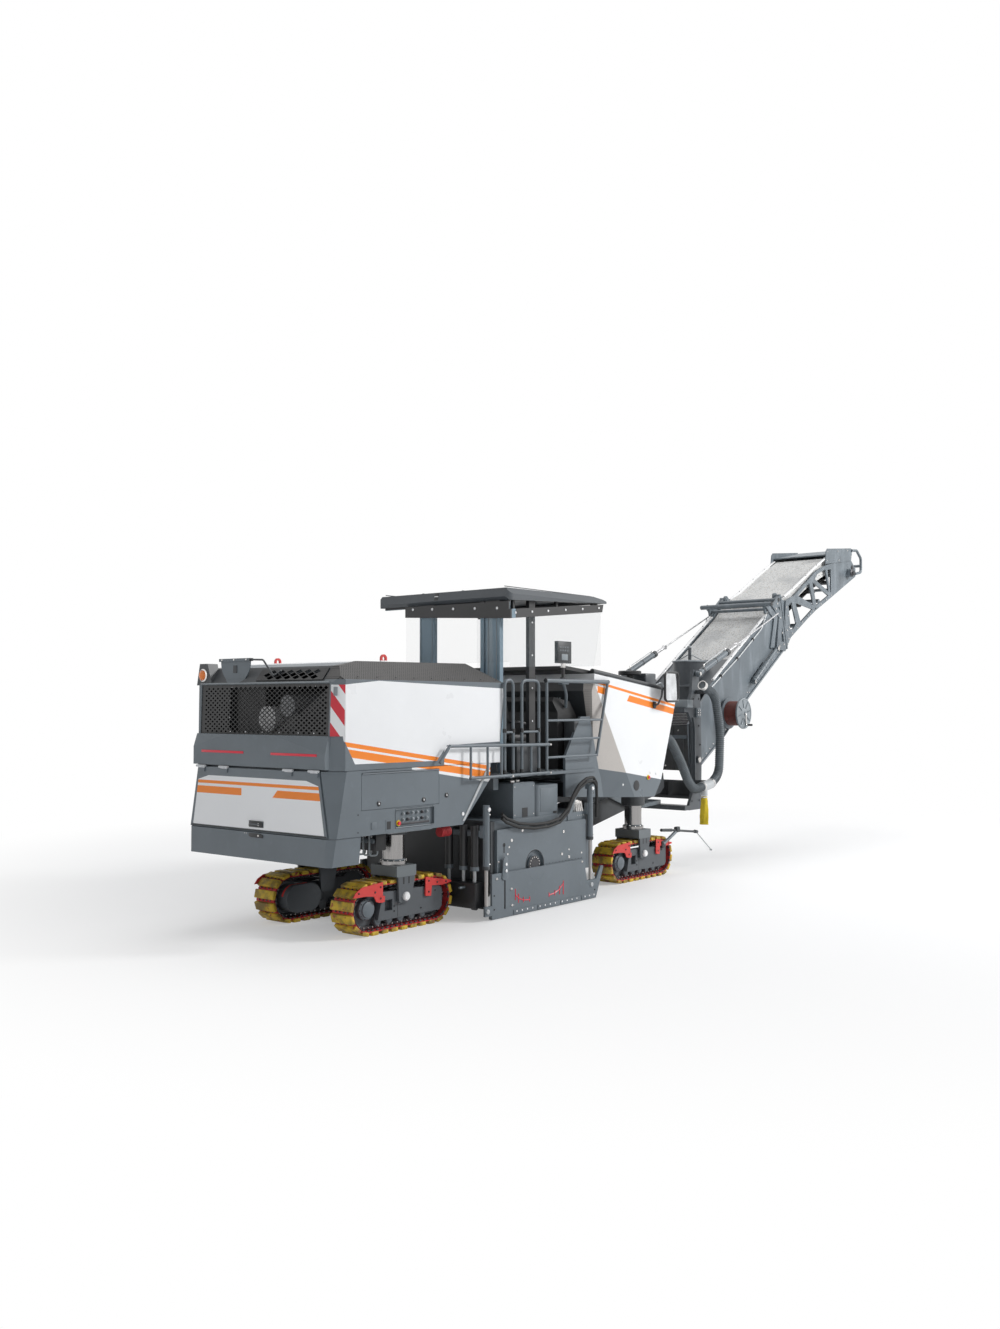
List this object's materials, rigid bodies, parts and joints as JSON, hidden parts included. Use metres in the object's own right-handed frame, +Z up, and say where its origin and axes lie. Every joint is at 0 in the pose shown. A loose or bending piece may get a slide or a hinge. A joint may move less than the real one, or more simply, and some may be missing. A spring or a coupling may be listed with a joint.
{
  "type": "cold planer milling machine",
  "caption": "Four-tracked road milling machine with open canopied platform, drum housing between side plates and a long folding front loading conveyor.",
  "frame": {"origin": "Centre of the machine's bounding box on the ground", "axes": "+X forward to the conveyor head, +Y to the machine's left, +Z up"},
  "size_m": [16.0589, 2.94, 5.9756],
  "materials": {
    "body_grey": "satin",
    "panel_white": "gloss",
    "track_mustard": "matt",
    "frame_grey": "satin",
    "chrome_leg": "polished",
    "mesh_black": "matt",
    "glass_tint": "clear",
    "rubber_black": "matt",
    "belt_grey": "matt",
    "hose_grey": "matt",
    "sock_yellow": "matt",
    "seat_black": "matt",
    "reel_red": "gloss",
    "steel_bright": "brushed",
    "engine_iron": "matt"
  },
  "bodies": {
    "chassis": {"main_frame": "frame_grey", "lower_body": "body_grey", "rear_bumper": "body_grey", "hood_shell": "body_grey", "hood_panels": "panel_white", "hood_meshes": "mesh_black", "engine_block": "engine_iron", "drum_housing": "body_grey", "plate_barrels": "frame_grey", "front_module": "panel_white", "front_cover": "mesh_black", "platform_deck": "body_grey", "side_tanks": "body_grey", "control_console": "mesh_black", "operator_seats": "seat_black", "gate_hoops_right": "body_grey", "gate_hoops_left": "body_grey", "guard_rails_right": "body_grey", "guard_rails_left": "body_grey", "rear_grille": "mesh_black", "hydraulic_hoses": "rubber_black", "canopy_roof": "panel_white", "canopy_frame": "mesh_black", "canopy_panes": "glass_tint", "mirrors": "mesh_black", "primary_conveyor": "body_grey", "conveyor_mount": "body_grey", "dust_hose": "hose_grey"},
    "service_door_right": {"service_door_right": "panel_white"},
    "service_door_left": {"service_door_left": "panel_white"},
    "tail_door": {"tail_door": "panel_white"},
    "milling_drum": {"milling_drum": "steel_bright"},
    "side_plate_right": {"side_plate_right": "body_grey"},
    "side_plate_left": {"side_plate_left": "body_grey"},
    "slew_yoke": {"slew_yoke": "body_grey", "duct_riser": "hose_grey", "duct_sock": "sock_yellow"},
    "conveyor_lower": {"conveyor_lower_frame": "body_grey", "belt_lower": "belt_grey", "transfer_hood": "body_grey", "fold_cylinders": "frame_grey"},
    "conveyor_upper": {"conveyor_upper_frame": "body_grey", "conveyor_head": "body_grey", "belt_upper": "belt_grey"},
    "hose_reel": {"hose_reel": "reel_red"},
    "luff_cylinders": {"luff_cylinders": "frame_grey"},
    "luff_rods": {"luff_rods": "chrome_leg"},
    "column_rear_right": {"column_rear_right": "chrome_leg"},
    "undercarriage_rear_right": {"track_chain_rear_right": "track_mustard", "track_frame_rear_right": "frame_grey"},
    "column_rear_left": {"column_rear_left": "chrome_leg"},
    "undercarriage_rear_left": {"track_chain_rear_left": "track_mustard", "track_frame_rear_left": "frame_grey"},
    "column_front_right": {"column_front_right": "chrome_leg"},
    "undercarriage_front_right": {"track_chain_front_right": "track_mustard", "track_frame_front_right": "frame_grey", "sighting_rod": "steel_bright"},
    "column_front_left": {"column_front_left": "chrome_leg"},
    "undercarriage_front_left": {"track_chain_front_left": "track_mustard", "track_frame_front_left": "frame_grey"}
  },
  "joints": [
    {"name": "lift_rear_right", "type": "slide", "parent": "chassis", "child": "column_rear_right", "axis": [0, 0, -1], "range_m": [-0.1, 0.3]},
    {"name": "steer_rear_right", "type": "hinge", "parent": "column_rear_right", "child": "undercarriage_rear_right", "pos_m": [-6.555, -0.808, 0.7], "axis": [0, 0, 1], "range_deg": [-18, 18]},
    {"name": "lift_rear_left", "type": "slide", "parent": "chassis", "child": "column_rear_left", "axis": [0, 0, -1], "range_m": [-0.1, 0.3]},
    {"name": "steer_rear_left", "type": "hinge", "parent": "column_rear_left", "child": "undercarriage_rear_left", "pos_m": [-6.555, 0.535, 0.7], "axis": [0, 0, 1], "range_deg": [-18, 18]},
    {"name": "lift_front_right", "type": "slide", "parent": "chassis", "child": "column_front_right", "axis": [0, 0, -1], "range_m": [-0.1, 0.3]},
    {"name": "steer_front_right", "type": "hinge", "parent": "column_front_right", "child": "undercarriage_front_right", "pos_m": [-1.325, -0.808, 0.7], "axis": [0, 0, 1], "range_deg": [-18, 18]},
    {"name": "lift_front_left", "type": "slide", "parent": "chassis", "child": "column_front_left", "axis": [0, 0, -1], "range_m": [-0.1, 0.3]},
    {"name": "steer_front_left", "type": "hinge", "parent": "column_front_left", "child": "undercarriage_front_left", "pos_m": [-1.325, 0.808, 0.7], "axis": [0, 0, 1], "range_deg": [-18, 18]},
    {"name": "tail_door_hinge", "type": "hinge", "parent": "chassis", "child": "tail_door", "pos_m": [-8.002, 0, 1.926], "axis": [0, 1, 0], "range_deg": [0, 85]},
    {"name": "service_door_right_hinge", "type": "hinge", "parent": "chassis", "child": "service_door_right", "pos_m": [-6.91, -1.286, 1.886], "axis": [-1, 0, 0], "range_deg": [0, 80]},
    {"name": "service_door_left_hinge", "type": "hinge", "parent": "chassis", "child": "service_door_left", "pos_m": [-6.91, 1.286, 1.886], "axis": [1, 0, 0], "range_deg": [0, 80]},
    {"name": "drum_spin", "type": "hinge", "parent": "chassis", "child": "milling_drum", "pos_m": [-4.54, 0, 0.6], "axis": [0, 1, 0], "continuous": true},
    {"name": "side_plate_right_lift", "type": "slide", "parent": "chassis", "child": "side_plate_right", "axis": [0, 0, 1], "range_m": [0, 0.33]},
    {"name": "side_plate_left_lift", "type": "slide", "parent": "chassis", "child": "side_plate_left", "axis": [0, 0, 1], "range_m": [0, 0.33]},
    {"name": "conveyor_slew", "type": "hinge", "parent": "chassis", "child": "slew_yoke", "pos_m": [0.51, 0, 1.75], "axis": [0, 0, 1], "range_deg": [-60, 60], "deforming": ["dust_hose"]},
    {"name": "conveyor_luff", "type": "hinge", "parent": "slew_yoke", "child": "conveyor_lower", "pos_m": [0.86, 0, 1.73], "axis": [0, -1, 0], "range_deg": [-20, 12]},
    {"name": "conveyor_fold", "type": "hinge", "parent": "conveyor_lower", "child": "conveyor_upper", "pos_m": [4.09, 0, 4.72], "axis": [0, -1, 0], "range_deg": [0, 150]},
    {"name": "reel_turn", "type": "hinge", "parent": "conveyor_lower", "child": "hose_reel", "pos_m": [2.01, -0.8, 2.5], "axis": [0, 1, 0], "continuous": true},
    {"name": "luff_cylinder_swing", "type": "hinge", "parent": "slew_yoke", "child": "luff_cylinders", "pos_m": [0.81, 0, 3.17], "axis": [0, -1, 0], "range_deg": [-24, 15]},
    {"name": "luff_rod_stroke", "type": "slide", "parent": "luff_cylinders", "child": "luff_rods", "axis": [0.9285, 0, 0.3714], "range_m": [-0.32, 0.52]}
  ],
  "couplings": [
    {"joint": "steer_front_left", "follows": "steer_front_right", "ratio": 1},
    {"joint": "steer_rear_left", "follows": "steer_rear_right", "ratio": 1},
    {"joint": "luff_cylinder_swing", "follows": "conveyor_luff", "ratio": 1.1},
    {"joint": "luff_rod_stroke", "follows": "conveyor_luff", "m_per_rad": -1.39}
  ]
}
